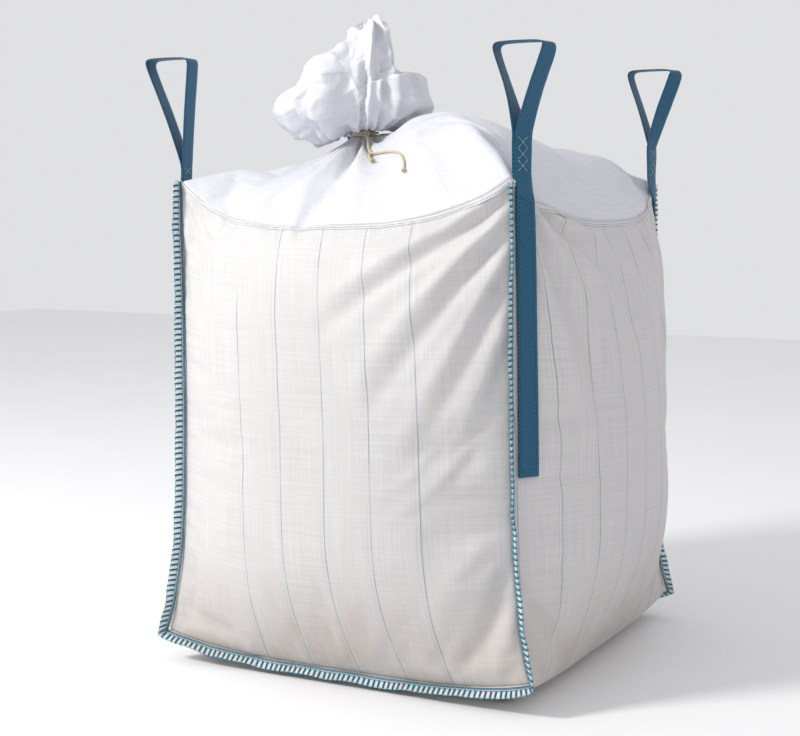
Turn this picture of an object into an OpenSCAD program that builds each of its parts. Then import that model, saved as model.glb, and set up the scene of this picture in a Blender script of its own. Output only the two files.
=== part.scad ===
// Bulk bag with a duffle top and four lifting loops, standing full on the floor.
// One sheet makes the left wall, the base and the right wall; a front and a rear panel are
// sewn to it with a seam that stands proud as a fin. Millimetres, +Z up, front towards -Y,
// origin at the centre of the flat patch the bag rests on.

/* [Bag] */
// Height of the rim at the corners
rim_h = 1158; // [900:1:1600]
// Half width at mid height, left to right
mid_half_x = 422; // [380:1:520]
// Half depth at mid height, front to back
mid_half_y = 447; // [380:1:520]
// Half width at the rim corners, left to right
rim_half_x = 424; // [380:1:520]
// Half depth at the rim corners, front to back
rim_half_y = 459; // [380:1:520]
// Half width at the bottom ears, left to right
ear_half_x = 478; // [400:1:560]
// Half depth at the bottom ears, front to back
ear_half_y = 464; // [400:1:560]
// Share of the height over which the ears flare out
flare = 0.14; // [0.05:0.01:0.3]
// Height of the bottom ears
ear_h = 72; // [40:1:120]
// Height of the bottom seam at mid wall
seam_h = 30; // [20:1:60]
// How far the rim sags at mid wall
rim_dip = 104; // [40:1:160]

/* [Bulge] */
// Outward bulge of a wall at its fullest
bulge_mid = 142; // [60:1:200]
// Outward bulge of a wall at the rim
bulge_rim = 44; // [0:1:90]
// Bow of the bottom seam, inward when negative
bulge_seam = -22; // [-50:1:20]
// Share of the wall height where the bulge is fullest
bulge_at = 0.42; // [0.25:0.01:0.7]
// Share of the base that lies flat on the floor
flat_share = 0.80; // [0.6:0.01:0.95]

/* [Cloth] */
// Thickness drawn for the woven cloth
cloth_t = 2.0; // [1:0.1:3]
// Thickness drawn for the light duffle cloth
duffle_t = 1.6; // [1:0.1:3]
// Gap kept between neighbouring layers
gap = 0.8; // [0.4:0.1:1.5]
// Width of the seam fin
fin_w = 27; // [18:1:40]
// Thickness of the seam fin
fin_t = 3.6; // [2:0.1:6]
// Spacing of the overlock rungs
rung_pitch = 23; // [10:1:40]
// Height of the rim hem
hem_h = 18; // [10:1:30]

/* [Duffle] */
// Neck centre to the left of the middle
neck_x = -100; // [-250:5:250]
// Neck centre in front of the middle
neck_y = -150; // [-250:5:250]
// Height of the tied neck
neck_h = 1266; // [1180:1:1400]
// Radius of the gathered neck
neck_r = 29; // [20:1:60]
// Heap of the product to the right of the neck
hump = 75; // [0:1:120]
// Height of the steep cone of cloth just under the neck
peak = 55; // [0:1:90]
// Height of the crown above the tie
crown_h = 285; // [120:5:400]
// Radius of the crown at its fullest
crown_r = 164; // [80:1:240]
// Number of flutes gathered into the neck
flutes = 11; // [6:1:18]
// Diameter of the tie cord
tie_d = 6; // [3:0.5:10]

/* [Loops] */
// Width of the webbing
web_w = 50; // [30:1:80]
// Thickness of one ply of webbing
web_t = 3; // [2:0.1:5]
// Height of a loop above the rim
loop_h = 286; // [150:1:400]
// Width of a loop at the top, outside
loop_w = 126; // [80:1:220]
// Length of the leg sewn down the wall
leg_len = 640; // [300:5:900]

/* [Hidden] */
cloth_c = [0.93, 0.92, 0.89];
duffle_c = [0.94, 0.95, 0.97];
teal_c = [0.10, 0.42, 0.52];
thread_c = [0.20, 0.55, 0.66];
tie_c = [0.86, 0.82, 0.66];
fill_c = [0.66, 0.58, 0.46];
white_c = [0.96, 0.96, 0.94];
edge = 0.0025;
front_turn = 0.25;
rear_turn = 0.12;
S = [-1, -0.95, -0.88, -0.80, -0.68, -0.55, -0.40, -0.24, -0.08,
    0.08, 0.24, 0.40, 0.55, 0.68, 0.80, 0.88, 0.95, 1];
T = [0, 0.025, 0.055, 0.09, 0.13, 0.19, 0.27, 0.37, 0.48, 0.60, 0.72, 0.83, 0.92, 0.97, 1];
R = [1, 0.94, 0.85, 0.74, 0.62, 0.50, 0.38, 0.27, 0.17, 0.09, 0];
neck = [neck_x, neck_y, neck_h];
// pivot of a lifting loop, as [x, y, z] for the front right one
pivot = [rim_half_x + gap + web_t + 2.6, -(rim_half_y - 34), rim_h + 8];

function pw(x, p) = pow(abs(x), p);
function unit(v) = v / norm(v);
function mix(a, b, k) = a + (b - a) * k;
function ramp(x, a, b) = let (k = max(0, min(1, (x - a) / (b - a)))) k * k * (3 - 2 * k);

// Wall surface: face 0 front, 1 right, 2 rear, 3 left; s runs -1..1 across, t runs 0..1 up.
function half(ear, mid, rim, t) = mid + (ear - mid) * exp(-t / flare) + (rim - mid) * pow(t, 3);
function bulge(t) = t < bulge_at
    ? bulge_seam + (bulge_mid - bulge_seam) * (1 - pow(1 - t / bulge_at, 3.2))
    : bulge_mid - (bulge_mid - bulge_rim) * pow((t - bulge_at) / (1 - bulge_at), 2);
function dip(t) = (ear_h - seam_h) * exp(-t / 0.10) + rim_dip * pow(t, 5);
function wall(f, s, t) =
    let (hx = half(ear_half_x, mid_half_x, rim_half_x, t),
        hy = half(ear_half_y, mid_half_y, rim_half_y, t), b = bulge(t) * (1 - pw(s, 2.6)),
        z = mix(ear_h, rim_h, t) - dip(t) * (1 - pw(s, 3.4)))
    f == 0 ? [s * hx, -hy - b, z] : f == 1 ? [hx + b, s * hy, z] :
    f == 2 ? [-s * hx, hy + b, z] : [-hx - b, -s * hy, z];
function wall_n(f, s, t) =
    let (e = 0.004, a = wall(f, min(s + e, 1), t) - wall(f, max(s - e, -1), t),
        b = wall(f, s, min(t + e, 1)) - wall(f, s, max(t - e, 0)))
    unit(cross(a, b));
function wall_o(f, s, t, d) = wall(f, s, t) + d * wall_n(f, s, t);

// Base surface between the four bottom edges; a and b run -1..1 to the right and to the rear.
function base(a, b) =
    let (m = max(abs(a), abs(b), 0.001), u = a / m, v = b / m,
        p = abs(a) > abs(b) ? (a > 0 ? wall(1, v, 0) : wall(3, -v, 0))
            : (b < 0 ? wall(0, u, 0) : wall(2, -u, 0)),
        k = max(0, (m - flat_share) / (1 - flat_share)))
    [p[0] * m, p[1] * m, p[2] * pow(k, 1.6)];

// The U sheet: v runs 0..3 down the right wall, across the base and up the left wall.
function u_sheet(v, b) = v < 1 ? wall(1, b, 1 - v) : v > 2 ? wall(3, -b, v - 2) : base(3 - 2 * v, b);
function u_sheet_o(v, b, d) =
    let (e = 0.006, a = u_sheet(min(v + e, 3), b) - u_sheet(max(v - e, 0), b),
        c = u_sheet(v, min(b + e, 1)) - u_sheet(v, max(b - e, -1)))
    u_sheet(v, b) + d * unit(cross(a, c));

// Dome surface: face and s name a point of the rim, r runs 1..0 from the rim to the neck.
function dome(f, s, r) =
    let (p = wall(f, s, 1) + [0, 0, 1.2], q = [p[0] - neck_x, p[1] - neck_y], w = atan2(q[1], q[0]),
        k = neck_r / norm(q), g = exp(-r / 0.20) * (1 - exp(-r / 0.04)) * 9 * cos(flutes * w),
        fall = 1 - pow(r, max(1, 2.3 + 1.25 * cos(w))),
        heap = hump * 5.5 * r * (1 - r) * (0.03 + 0.97 * ramp(w, -55, -20) * (1 - ramp(w, -6, 95))),
        xy = [neck_x, neck_y] + q * mix(k, 1, r))
    [xy[0], xy[1], mix(p[2], neck_h - peak, fall) + g + heap + peak * exp(-r * norm(q) / 50) * (1 - r)];
function dome_n(f, s, r) =
    let (e = 0.008, a = dome(f, min(s + e, 1), r) - dome(f, max(s - e, -1), r),
        b = dome(f, s, max(r - e, 0)) - dome(f, s, min(r + e, 1)))
    unit(cross(a, b));
function dome_o(f, s, r, d) = dome(f, s, r) + d * dome_n(f, s, r);

// Crown surface around the neck axis; w is the angle, v runs 0..1 from the tie to the mouth.
function crown_rad(v) = lookup(v, [[0, 22], [0.06, 25], [0.16, 84], [0.28, 134], [0.43, 160],
    [0.58, 164], [0.72, 146], [0.84, 108], [0.93, 64], [1, 24]]) * crown_r / 164;
function crown_up(v) = lookup(v, [[0, -6], [0.06, 19], [0.16, 45], [0.28, 73], [0.43, 120],
    [0.58, 172], [0.72, 226], [0.84, 264], [0.93, 281], [1, 285]]) * crown_h / 285;
function crown(w, v) =
    let (g = 1 + sin(180 * v) * (0.13 * cos(flutes * w + 60 * v) + 0.10 * cos(3 * w - 50)),
        r = crown_rad(v) * g, y = mix(1, 0.80, min(1, v * 8)))
    neck + [r * cos(w) - 16 * v, y * r * sin(w), crown_up(v)];

// Closed skin between an outer and an inner grid of n rows and m columns.
function cell(a, b, c, d) = [[a, b, c], [a, c, d]];
function skin_faces(n, m, wrap) =
    let (o = n * m, last = wrap ? n : n - 1)
    [for (i = [0 : last - 1]) for (j = [0 : m - 2])
        let (k = (i + 1) % n, a = i * m + j, b = a + 1, d = k * m + j, c = d + 1)
        each concat(cell(a, b, c, d), cell(o + a, o + d, o + c, o + b),
            j == 0 ? cell(a, d, o + d, o + a) : [], j == m - 2 ? cell(c, b, o + b, o + c) : [],
            !wrap && i == 0 ? cell(b, a, o + a, o + b) : [],
            !wrap && i == n - 2 ? cell(d, c, o + c, o + d) : [])];
module skin(outer, inner, wrap = false) {
    n = len(outer);
    m = len(outer[0]);
    polyhedron(concat([for (r = outer) each r], [for (r = inner) each r]), skin_faces(n, m, wrap));
}

// Bars with four-cornered sections; each bar is a list of sections, all in one solid body list.
function bar_faces(n) = concat(
    [for (i = [0 : n - 2]) for (j = [0 : 3])
        let (a = i * 4 + j, b = i * 4 + (j + 1) % 4) each cell(b, a, a + 4, b + 4)],
    cell(0, 1, 2, 3), cell(4 * n - 1, 4 * n - 2, 4 * n - 3, 4 * n - 4));
module bars(list) {
    at = [for (i = 0, k = 0; i < len(list); k = k + 4 * len(list[i]), i = i + 1) k];
    polyhedron([for (b = list) for (s = b) each s],
        [for (i = [0 : len(list) - 1]) for (f = bar_faces(len(list[i]))) [for (v = f) v + at[i]]]);
}

// Front seam as a list of [point, fin direction], down the left, along the base, up the right.
// turn is how far the fin at the right faces sideways at the rim; lower down it faces like the left one.
function fin_dir(s, t, turn) =
    let (ws = exp(-(1 - abs(s)) / 0.05), wb = exp(-t / 0.03),
        x = s < 0 ? 0.62 - 0.57 * pow(t, 3) : mix(0.86, turn, min(1, t / 0.5)))
    unit(ws * [sign(s) * x, -sqrt(1 - x * x), 0] + wb * [0, -0.80, -0.60]);
function seam(turn) = concat(
    [for (i = [len(T) - 1 : -1 : 1]) [wall(0, -1, T[i]), fin_dir(-1, T[i], turn)]],
    [for (s = S) [wall(0, s, 0), fin_dir(s, 0, turn)]],
    [for (i = [1 : len(T) - 1]) [wall(0, 1, T[i]), fin_dir(1, T[i], turn)]]);
// Unit vector out of the front side of the fin
function fin_up(q, i) =
    let (n = len(q), t = q[min(i + 1, n - 1)][0] - q[max(i - 1, 0)][0]) unit(cross(q[i][1], t));
function fin_sec(p, d, u, a, b, lo, hi) =
    [p + d * a + u * lo, p + d * b + u * lo, p + d * b + u * hi, p + d * a + u * hi];

module seam_strip(turn, a, b, lo, hi) {
    q = seam(turn);
    bars([[for (i = [0 : len(q) - 1]) fin_sec(q[i][0], q[i][1], fin_up(q, i), a, b, lo, hi)]]);
}
module seam_fin(turn) seam_strip(turn, 1.2, fin_w, -fin_t / 2, fin_t / 2);
module chain_stitch(turn) seam_strip(turn, 4, 6, fin_t / 2 + 0.3, fin_t / 2 + 1.1);
module overlock(turn) {
    q = seam(turn);
    u = [for (i = [0 : len(q) - 1]) fin_up(q, i)];
    bars([for (i = [0 : len(q) - 2])
        let (l = norm(q[i + 1][0] + q[i + 1][1] * 22 - q[i][0] - q[i][1] * 22),
            n = max(1, round(l / rung_pitch)))
        for (k = [0 : n - 1])
            let (h = 1.1 / l, c = (k + 0.5) / n)
            [for (e = [c - h, c + h])
                fin_sec(mix(q[i][0], q[i + 1][0], e), unit(mix(q[i][1], q[i + 1][1], e)),
                    unit(mix(u[i], u[i + 1], e)), 10, fin_w - 0.6, fin_t / 2 + 0.3, fin_t / 2 + 1.1)]]);
}

module panel() {
    s = [for (v = S) v * (1 - edge)];
    t = [for (v = T) max(v, 0.0022)];
    skin([for (a = s) [for (b = t) wall(0, a, b)]], [for (a = s) [for (b = t) wall_o(0, a, b, -cloth_t)]]);
}
module front_panel() color(cloth_c) panel();
module rear_panel() color(cloth_c) mirror([0, 1, 0]) panel();

module u_panel() {
    b = [for (v = S) v * (1 - edge)];
    v = concat([for (i = [len(T) - 1 : -1 : 0]) 1 - T[i]],
        [for (a = S) if (abs(a) < 1) 1.5 + a / 2], [for (t = T) 2 + t]);
    color(cloth_c)
        skin([for (i = v) [for (j = b) u_sheet(i, j)]],
            [for (i = v) [for (j = b) u_sheet_o(i, j, -cloth_t)]]);
}

// Product in the bag: base rings, wall rings, dome rings, closed by a point at each end.
module bulk_fill() {
    d = cloth_t + 3.0;
    s = [for (v = S) v * 0.97];
    ring = [for (f = [0 : 3]) for (v = s) [f, v]];
    n = len(ring);
    base_p = function (f, v, m) f == 0 ? base(v * m, -m) : f == 1 ? base(m, v * m) :
        f == 2 ? base(-v * m, m) : base(-m, -v * m);
    rows = concat(
        [for (m = [0.45, 0.80, 0.90, 0.965])
            [for (q = ring) base_p(q[0], q[1], m) + [0, 0, d + (m > 0.8 ? 14 : 0) * pw(q[1], 8)]]],
        [for (t = T) if (t > 0.01 && t < 0.99) [for (q = ring) wall_o(q[0], q[1], t, -d)]],
        [for (r = R) if (r < 0.99 && r > 0.01)
            [for (q = ring) dome_o(q[0], q[1], r, -d) - [0, 0, 34 * exp(-r / 0.07)]]]);
    m = len(rows);
    color(fill_c)
        polyhedron(concat([for (r = rows) each r], [[0, 0, d], neck - [0, 0, 44]]), concat(
            [for (i = [0 : m - 2]) for (j = [0 : n - 1])
                let (a = i * n + j, b = i * n + (j + 1) % n) each cell(a, a + n, b + n, b)],
            [for (j = [0 : n - 1]) [m * n, j, (j + 1) % n]],
            [for (j = [0 : n - 1]) [m * n + 1, (m - 1) * n + (j + 1) % n, (m - 1) * n + j]]));
}

module front_seam_fin() color(cloth_c) seam_fin(front_turn);
module rear_seam_fin() color(cloth_c) mirror([0, 1, 0]) seam_fin(rear_turn);
module front_overlock() color(thread_c) overlock(front_turn);
module rear_overlock() color(thread_c) mirror([0, 1, 0]) overlock(rear_turn);
module front_chain_stitch() color(thread_c) chain_stitch(front_turn);
module rear_chain_stitch() color(thread_c) mirror([0, 1, 0]) chain_stitch(rear_turn);

// Folded hem outside the rim; it stops short of the webbing on the side walls.
module rim_hem() {
    lo = 1 - hem_h / (rim_h - ear_h);
    color(cloth_c)
        for (f = [0 : 3]) {
            k = f % 2 == 0 ? 0.985 : 0.85;
            s = [for (v = S) if (abs(v) <= 0.95) v * k / 0.95];
            t = [lo, (lo + 1) / 2, 1];
            skin([for (a = s) [for (b = t) wall_o(f, a, b, gap + 1.4)]],
                [for (a = s) [for (b = t) wall_o(f, a, b, gap)]]);
        }
}

module duffle_skirt() {
    q = [for (f = [0 : 3]) for (i = [0 : len(S) - 2]) [f, S[i]]];
    outer = [for (a = q) [for (r = R) dome(a[0], a[1], r)]];
    color(duffle_c)
        skin(outer, [for (row = outer) [for (k = [0 : len(R) - 1])
            let (p = row[k], o = unit([p[0] - neck_x, p[1] - neck_y, 0]))
            p - [0, 0, duffle_t] - (R[k] < 0.2 ? duffle_t : 0.5) * o]], wrap = true);
}

// Bunched cloth above the tie, one soft mass closed at both ends
module duffle_crown() {
    v = [0, 0.03, 0.06, 0.16, 0.28, 0.43, 0.58, 0.72, 0.84, 0.93, 1];
    n = 44;
    m = len(v);
    color(duffle_c)
        polyhedron(concat([for (b = v) for (i = [0 : n - 1]) crown(i * 360 / n, b)],
            [neck - [0, 0, 6], neck + [-16, 0, crown_h + 1]]), concat(
            [for (i = [0 : m - 2]) for (j = [0 : n - 1])
                let (a = i * n + j, b = i * n + (j + 1) % n) each cell(a, a + n, b + n, b)],
            [for (j = [0 : n - 1]) [m * n, j, (j + 1) % n]],
            [for (j = [0 : n - 1]) [m * n + 1, (m - 1) * n + (j + 1) % n, (m - 1) * n + j]]));
}

// Cord wound twice round the neck and knotted in front
knot_at = neck + (neck_r + tie_d + 7.6) * [cos(-55), sin(-55), 0] + [0, 0, 4];
module tie_wrap() color(tie_c) translate(neck) for (k = [0, 1])
    translate([0, 0, k * (tie_d + 0.4) - 1]) rotate_extrude($fn = 96)
        translate([neck_r + tie_d / 2 + 0.4, 0]) circle(d = tie_d, $fn = 32);
module tie_knot() color(tie_c) translate(knot_at) sphere(r = 7, $fn = 32);

// Loose cord end lying on the dome, from the knot outwards; its last stretch is a knot.
function tube(path, rad) =
    [for (i = [0 : len(path) - 1])
        let (t = unit(path[min(i + 1, len(path) - 1)] - path[max(i - 1, 0)]),
            a = unit(cross(t, [0, 0, 1])), b = cross(a, t))
        [for (k = [0 : 45 : 315]) path[i] + rad[i] * (a * cos(k) + b * sin(k))]];
module tail(s0, s1, r_end, bend) {
    n = 18;
    first = dome_o(0, s0, 0.16, 11);
    path = concat([knot_at + unit(first - knot_at) * 7.6],
        [for (i = [0 : n]) let (r = mix(0.16, r_end, i / n))
            dome_o(0, mix(s0, s1, pow(i / n, 0.7)) + bend * sin(300 * i / n), r,
                i < 3 ? 11 - 2 * i : 5.5)]);
    rad = [for (i = [0 : n + 1]) (i == n ? 1.9 : i == n - 1 ? 1.5 : 1) * tie_d / 2 * (i == n + 1 ? 0.8 : 1)];
    g = tube(path, rad);
    m = len(g);
    color(tie_c)
        polyhedron([for (r = g) each r], concat(
            [for (i = [0 : m - 2]) for (j = [0 : 7])
                let (a = i * 8 + j, b = i * 8 + (j + 1) % 8) each cell(a, b, b + 8, a + 8)],
            [for (j = [1 : 6]) [0, j + 1, j]],
            [for (j = [1 : 6]) let (o = (m - 1) * 8) [o, o + j, o + j + 1]]));
}
module tie_tail_short() tail(0.10, 0.30, 0.53, 0.02);
module tie_tail_long() tail(0.95, 0.50, 0.77, -0.03);

// Webbing leg sewn to the front end of the right wall, two plies
function leg_t() = 1 - leg_len / (rim_h - ear_h);
module leg() {
    t = concat([leg_t()], [for (v = T) if (v > leg_t() + 0.02 && v < 0.99) v], [0.9985]);
    s = [for (k = [0, 0.5, 1]) mix(-0.984, -0.886, k)];
    skin([for (a = s) [for (b = t) wall_o(1, a, b, gap + 0.6 + 2 * web_t)]],
        [for (a = s) [for (b = t) wall_o(1, a, b, gap + 0.6)]]);
}
// Two lines of stitching down the leg
module leg_stitch() {
    t = concat([leg_t() + 0.01], [for (v = T) if (v > leg_t() + 0.03 && v < 0.96) v], [0.965]);
    for (k = [0.16, 0.84]) {
        s = [mix(-0.984, -0.886, k - 0.025), mix(-0.984, -0.886, k + 0.025)];
        skin([for (a = s) [for (b = t) wall_o(1, a, b, gap + 2 * web_t + 1.8)]],
            [for (a = s) [for (b = t) wall_o(1, a, b, gap + 2 * web_t + 0.9)]]);
    }
}

// Lifting loop in its own frame: pivot at the origin, webbing width along Y, opening above rise.
module loop(rise, lean) {
    h = loop_h - 8;
    a = web_t + 0.4;
    w = loop_w / 2;
    rotate([90, 0, 0]) linear_extrude(web_w, center = true) difference() {
        union() {
            circle(r = a, $fn = 32);
            polygon([[-a, 0], [a, 0], [a, rise - 6], [lean + w, h - 8], [lean + w - 5, h],
                [lean - w + 5, h], [lean - w, h - 8], [-a, rise - 6]]);
        }
        polygon([[0, rise], [lean + w - web_t - 1, h - 10], [lean + w - 8, h - web_t],
            [lean - w + 8, h - web_t], [lean - w + web_t + 1, h - 10]]);
    }
}
// Cross stitch that holds the two plies together under the opening
module tack(rise) {
    l = min(rise - 16, 38);
    turn = atan2(30, l);
    for (m = [-1, 1]) for (k = [-1, 1])
        translate([m * (web_t + 1.1), 0, rise / 2 + 1]) rotate([k * turn, 0, 0])
            cube([0.8, 2, l / cos(turn)], center = true);
}

module place(x, y, high = true)
    mirror([x < 0 ? 1 : 0, 0, 0]) mirror([0, y > 0 ? 1 : 0, 0])
        translate(high ? pivot : [0, 0, 0]) children();
module leg_front_left() color(teal_c) place(-1, -1, false) leg();
module leg_front_right() color(teal_c) place(1, -1, false) leg();
module leg_rear_left() color(teal_c) place(-1, 1, false) leg();
module leg_rear_right() color(teal_c) place(1, 1, false) leg();
module leg_stitch_front_left() color(thread_c) place(-1, -1, false) leg_stitch();
module leg_stitch_front_right() color(thread_c) place(1, -1, false) leg_stitch();
module leg_stitch_rear_left() color(thread_c) place(-1, 1, false) leg_stitch();
module leg_stitch_rear_right() color(thread_c) place(1, 1, false) leg_stitch();
module loop_front_left() color(teal_c) place(-1, -1) loop(30, 40);
module loop_front_right() color(teal_c) place(1, -1) loop(88, 0);
module loop_rear_left() color(teal_c) place(-1, 1) loop(60, 20);
module loop_rear_right() color(teal_c) place(1, 1) loop(82, 0);
module tack_front_left() color(white_c) place(-1, -1) tack(30);
module tack_front_right() color(white_c) place(1, -1) tack(88);
module tack_rear_left() color(white_c) place(-1, 1) tack(60);
module tack_rear_right() color(white_c) place(1, 1) tack(82);

bulk_fill();
u_panel();
front_panel();
rear_panel();
front_seam_fin();
rear_seam_fin();
front_overlock();
rear_overlock();
front_chain_stitch();
rear_chain_stitch();
rim_hem();
duffle_skirt();
duffle_crown();
tie_wrap();
tie_knot();
tie_tail_short();
tie_tail_long();
leg_front_left();
leg_front_right();
leg_rear_left();
leg_rear_right();
leg_stitch_front_left();
leg_stitch_front_right();
leg_stitch_rear_left();
leg_stitch_rear_right();
loop_front_left();
loop_front_right();
loop_rear_left();
loop_rear_right();
tack_front_left();
tack_front_right();
tack_rear_left();
tack_rear_right();
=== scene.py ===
"""Looks of the full bulk bag: woven cloth, duffle top, webbing loops, seams and tie cord."""
import math

import bmesh
import bpy
import numpy as np
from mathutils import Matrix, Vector
from mathutils.bvhtree import BVHTree


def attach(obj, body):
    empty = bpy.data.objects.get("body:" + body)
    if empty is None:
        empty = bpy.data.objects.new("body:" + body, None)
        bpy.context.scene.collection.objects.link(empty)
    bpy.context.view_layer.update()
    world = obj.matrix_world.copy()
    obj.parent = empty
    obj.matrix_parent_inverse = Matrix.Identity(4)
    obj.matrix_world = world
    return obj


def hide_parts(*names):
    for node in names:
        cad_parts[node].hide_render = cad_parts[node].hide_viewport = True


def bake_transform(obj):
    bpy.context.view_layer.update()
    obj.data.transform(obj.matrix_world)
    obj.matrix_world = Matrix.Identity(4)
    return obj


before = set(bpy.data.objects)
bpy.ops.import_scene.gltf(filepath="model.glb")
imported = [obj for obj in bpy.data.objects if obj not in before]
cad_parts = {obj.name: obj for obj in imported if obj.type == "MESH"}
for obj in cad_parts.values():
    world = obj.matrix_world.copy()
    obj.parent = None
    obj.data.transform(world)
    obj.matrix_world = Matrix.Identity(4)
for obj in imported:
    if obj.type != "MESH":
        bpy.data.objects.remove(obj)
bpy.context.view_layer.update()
scene = bpy.context.scene
rng = np.random.default_rng(11)


# ---- camera and light
def add_camera():
    data = bpy.data.cameras.new("camera")
    data.sensor_width, data.lens = 36.0, 70.9
    data.dof.use_dof = False
    cam = bpy.data.objects.new("camera", data)
    scene.collection.objects.link(cam)
    cam.location = (1.76, -3.523, 1.114)
    cam.rotation_euler = (math.radians(90 - 6.12), 0, math.radians(27.61))
    scene.camera = cam


def add_light(name, place, aim, size, power, colour):
    data = bpy.data.lights.new(name, "AREA")
    data.shape, data.size, data.energy, data.color = "DISK", size, power, colour
    lamp = bpy.data.objects.new(name, data)
    scene.collection.objects.link(lamp)
    lamp.location = place
    lamp.rotation_euler = (Vector(aim) - Vector(place)).to_track_quat("-Z", "Y").to_euler()


add_camera()
add_light("key", (-3.4, -4.2, 4.4), (0, 0, 0.7), 1.4, 320, (1.0, 0.99, 0.97))
add_light("fill", (4.6, -2.6, 2.0), (0, 0, 0.6), 3.0, 3, (0.95, 0.93, 1.0))
add_light("top", (0.6, 1.6, 5.0), (0, 0, 1.0), 2.5, 6, (1.0, 1.0, 1.0))
scene.view_settings.view_transform = "Standard"
world = bpy.data.worlds.new("studio")
scene.world = world
world.use_nodes = True
world.node_tree.nodes["Background"].inputs["Color"].default_value = (0.97, 0.975, 1.0, 1)
world.node_tree.nodes["Background"].inputs["Strength"].default_value = 0.77

# ---- sizes, in metres
EAR_H, SEAM_H, RIM_H, RIM_DIP = 0.072, 0.030, 1.158, 0.104
MID_X, MID_Y, RIM_X, RIM_Y, EAR_X, EAR_Y, FLARE = 0.422, 0.447, 0.424, 0.459, 0.478, 0.464, 0.14
B_SEAM, B_MID, B_RIM, B_AT, FLAT = -0.022, 0.142, 0.044, 0.42, 0.80
NECK = np.array([-0.100, -0.150, 1.266])
NECK_R, HUMP, PEAK = 0.029, 0.075, 0.055
FIN_W, FIN_T, TURN_FRONT, TURN_REAR = 0.027, 0.0032, 0.25, 0.12
WEB_W, WEB_T, LEG_LEN, LOOP_H, LOOP_W = 0.050, 0.0026, 0.640, 0.278, 0.126
PIVOT = np.array([RIM_X + 0.0064, 0.034 - RIM_Y, 1.166])
# Side, end (1 front, -1 rear), start and lean of the opening; then how far the webbing is turned
# at the foot of the loop, on its inner and on its outer branch, in degrees; shift of the plies.
LOOPS = {"front_left": (-1, 1, 0.030, 0.040, 8, 5, 10, 0.000), "front_right": (1, 1, 0.088, 0.0, 25, -5, 18, 0.002),
         "rear_left": (-1, -1, 0.060, 0.020, 10, 4, 14, 0.003), "rear_right": (1, -1, 0.082, 0.0, -6, 0, -27, 0.008)}
LEG_FOOT = 1 - LEG_LEN / (RIM_H - EAR_H)
YARN = 0.112                      # spacing of the marker yarns
HALF_W, HIGH, CUT_W = 0.44, 1.09, 3.8                # walls as sewn: half width, height, length of the rim
RUNG, FIN_STEP = 0.0130, 0.006                       # pitch of the overlock, step along the fin
GAP, SEW_X, SEW_TOP = 0.0022, 0.019, 0.975           # leg off the wall; its stitch lines, their upper end
SEW_FOOT = LEG_FOOT + 0.012


# ---- the bag's smooth shape
def mix(a, b, k):
    return a + (b - a) * k


def unit(v):
    return v / np.maximum(np.linalg.norm(v, axis=-1, keepdims=True), 1e-12)


def bell(x, width):
    return np.exp(-((x / width) ** 2))


def smooth(x, lo, hi):
    k = np.clip((x - lo) / (hi - lo), 0, 1)
    return k * k * (3 - 2 * k)


def half(ear, mid, rim, t):
    return mid + (ear - mid) * np.exp(-t / FLARE) + (rim - mid) * t**3


def bulge(t):
    low = B_SEAM + (B_MID - B_SEAM) * (1 - np.maximum(1 - t / B_AT, 0) ** 3.2)
    high = B_MID - (B_MID - B_RIM) * ((t - B_AT) / (1 - B_AT)) ** 2
    return np.where(t < B_AT, low, high)


def wall(f, s, t):
    """Face 0 front, 1 right, 2 rear, 3 left; s runs -1..1 across it, t runs 0..1 up it."""
    f, s, t = np.broadcast_arrays(np.asarray(f), np.asarray(s, float), np.asarray(t, float))
    hx, hy, b = half(EAR_X, MID_X, RIM_X, t), half(EAR_Y, MID_Y, RIM_Y, t), bulge(t) * (1 - np.abs(s) ** 2.6)
    dip = (EAR_H - SEAM_H) * np.exp(-t / 0.10) + RIM_DIP * t**5
    z = mix(EAR_H, RIM_H, t) - dip * (1 - np.abs(s) ** 3.4)
    x = np.select([f == 0, f == 1, f == 2], [s * hx, hx + b, -s * hx], -hx - b)
    y = np.select([f == 0, f == 1, f == 2], [-hy - b, s * hy, hy + b], -s * hy)
    return np.stack([x, y, z], -1)


def wall_n(f, s, t, e=0.004):
    a = wall(f, np.minimum(s + e, 1), t) - wall(f, np.maximum(s - e, -1), t)
    b = wall(f, s, np.minimum(t + e, 1)) - wall(f, s, np.maximum(t - e, 0))
    return unit(np.cross(a, b))


def base(f, s, m):
    p = wall(f, s, 0.0)
    k = np.maximum(0, (m - FLAT) / (1 - FLAT))
    return np.stack([p[..., 0] * m, p[..., 1] * m, p[..., 2] * k**1.6], -1)


def dome(f, s, r):
    p = wall(f, s, 1.0)
    q = p[..., :2] - NECK[:2]
    far, w = np.linalg.norm(q, axis=-1), np.arctan2(q[..., 1], q[..., 0])
    k = mix(NECK_R / far, 1, r)
    z = mix(p[..., 2], NECK[2] - PEAK, 1 - r ** np.maximum(1, 2.3 + 1.25 * np.cos(w)))
    deg = np.degrees(w)
    z = z + HUMP * 5.5 * r * (1 - r) * (0.03 + 0.97 * smooth(deg, -55, -20) * (1 - smooth(deg, -6, 95)))
    z = z + PEAK * np.exp(-r * far / 0.05) * (1 - r)
    return np.stack([NECK[0] + q[..., 0] * k, NECK[1] + q[..., 1] * k, z], -1), w


# ---- mesh helpers
def make(name, verts, faces, uv=None, mats=(), index=None):
    """uv is one pair per face corner; index gives each face's material."""
    me = bpy.data.meshes.new(name)
    me.from_pydata(np.asarray(verts, float).tolist(), [], [list(map(int, f)) for f in faces])
    if uv is not None:
        layer = me.uv_layers.new(name="UVMap")
        layer.data.foreach_set("uv", np.asarray(uv, np.float32).ravel())
    for m in mats:
        me.materials.append(m)
    if index is not None:
        me.polygons.foreach_set("material_index", np.asarray(index, np.int32))
    me.polygons.foreach_set("use_smooth", [True] * len(me.polygons))
    me.update()
    ob = bpy.data.objects.new(name, me)
    scene.collection.objects.link(ob)
    return ob


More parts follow.
